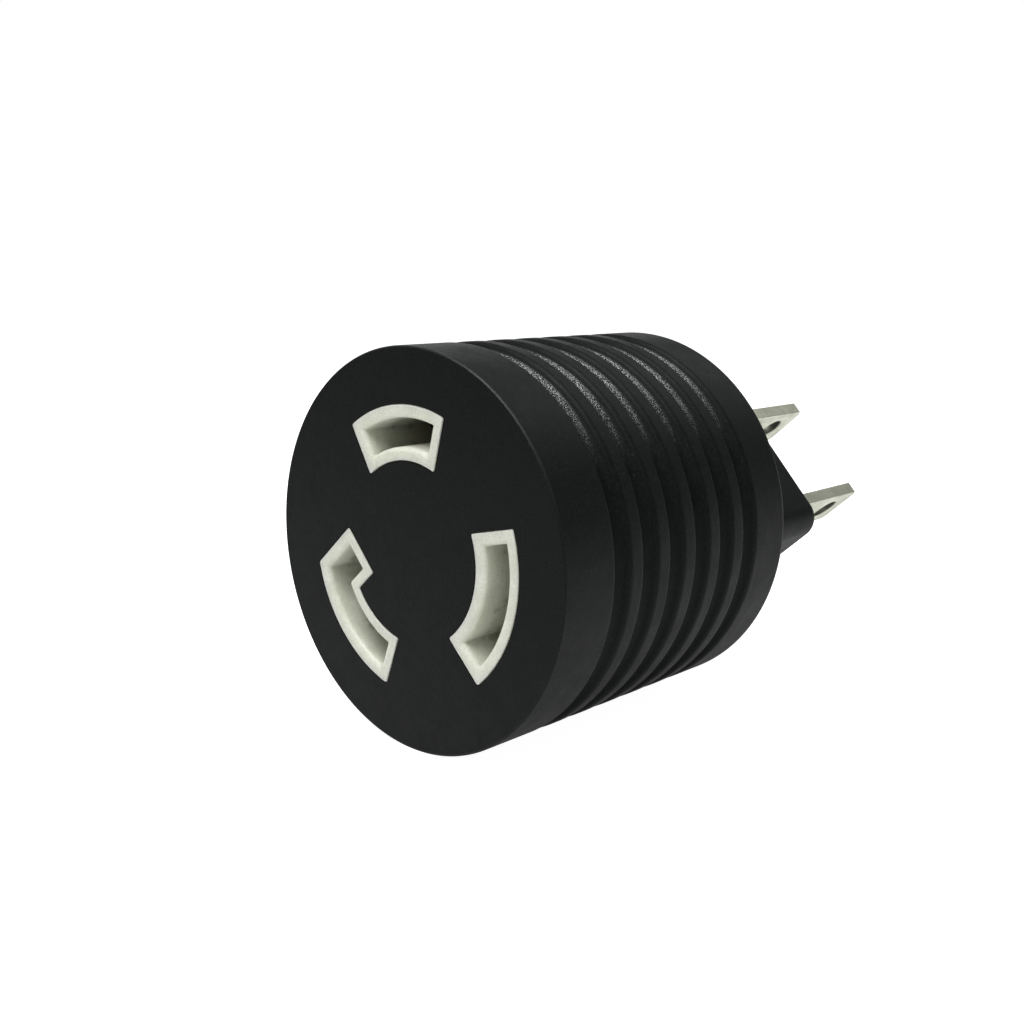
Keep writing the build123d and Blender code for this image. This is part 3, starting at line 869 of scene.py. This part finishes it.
def floor():
    """Flat pale floor that glows: near white to the camera, and dimmer in the light it throws back on the
    adapter, which is stronger from the rear right than from the front left."""
    half = FLOOR_HALF * MM
    level = cad_box[0][2]
    bm = bmesh.new()
    corners = []
    for x, y in ((-1, -1), (1, -1), (1, 1), (-1, 1)):
        corners.append(bm.verts.new((x * half, y * half, level)))
    bm.faces.new(corners)
    mesh = bpy.data.meshes.new("floor")
    bm.to_mesh(mesh)
    bm.free()
    thing = bpy.data.objects.new("floor", mesh)
    bpy.context.scene.collection.objects.link(thing)
    f = Finish("floor")
    cloud = f.noise(FLOOR_CLOUD, 3.0, 0.5)
    f.set(Base_Color=f.mix(cloud, (0.62, 0.62, 0.62), (0.66, 0.66, 0.66)), Roughness=0.9)
    seen = f.tree.nodes.new("ShaderNodeLightPath").outputs["Is Camera Ray"]
    along = f.tree.nodes.new("ShaderNodeVectorMath")
    along.operation = "DOT_PRODUCT"
    along.inputs[1].default_value = GLOW_TOWARDS
    f.tree.links.new(f.where, along.inputs[0])
    glow = f.ramp(along.outputs["Value"], -GLOW_REACH, GLOW_REACH, GLOW_LEAST, GLOW_MOST)
    f.set(Emission_Color=(1.0, 1.0, 1.0), Emission_Strength=f.ramp(seen, 0.0, 1.0, glow, GLOW_SEEN))
    thing.data.materials.append(f.material)


def surroundings():
    """Even grey surroundings that the camera sees as white."""
    world = bpy.data.worlds.new("surroundings")
    world.use_nodes = True
    tree = world.node_tree
    background = tree.nodes["Background"]
    seen = tree.nodes.new("ShaderNodeLightPath").outputs["Is Camera Ray"]
    blend = tree.nodes.new("ShaderNodeMix")
    blend.data_type = "RGBA"
    tree.links.new(seen, blend.inputs["Factor"])
    blend.inputs[MIX_A].default_value = (*SURROUNDINGS, 1.0)
    blend.inputs[MIX_B].default_value = (1.0, 1.0, 1.0, 1.0)
    tree.links.new(blend.outputs[MIX_RESULT], background.inputs["Color"])
    background.inputs["Strength"].default_value = 1.0
    bpy.context.scene.world = world


def camera():
    """Looks at the socket face from the right and a little above."""
    data = bpy.data.cameras.new("camera")
    data.sensor_width = CAMERA_SENSOR
    data.lens = CAMERA_LENS
    data.clip_start = CAMERA_CLIP * MM
    thing = bpy.data.objects.new("camera", data)
    bpy.context.scene.collection.objects.link(thing)
    forward = Vector((
        -math.sin(CAMERA_AZIMUTH) * math.cos(CAMERA_ELEVATION),
        math.cos(CAMERA_AZIMUTH) * math.cos(CAMERA_ELEVATION),
        -math.sin(CAMERA_ELEVATION),
    ))
    thing.location = Vector(CAMERA_PLACE) * MM
    thing.rotation_euler = forward.to_track_quat("-Z", "Y").to_euler()
    bpy.context.scene.camera = thing


floor()
surroundings()
for name, place, size, power in LAMPS:
    lamp(name, place, size, power)
camera()
bpy.context.scene.view_settings.view_transform = "Standard"
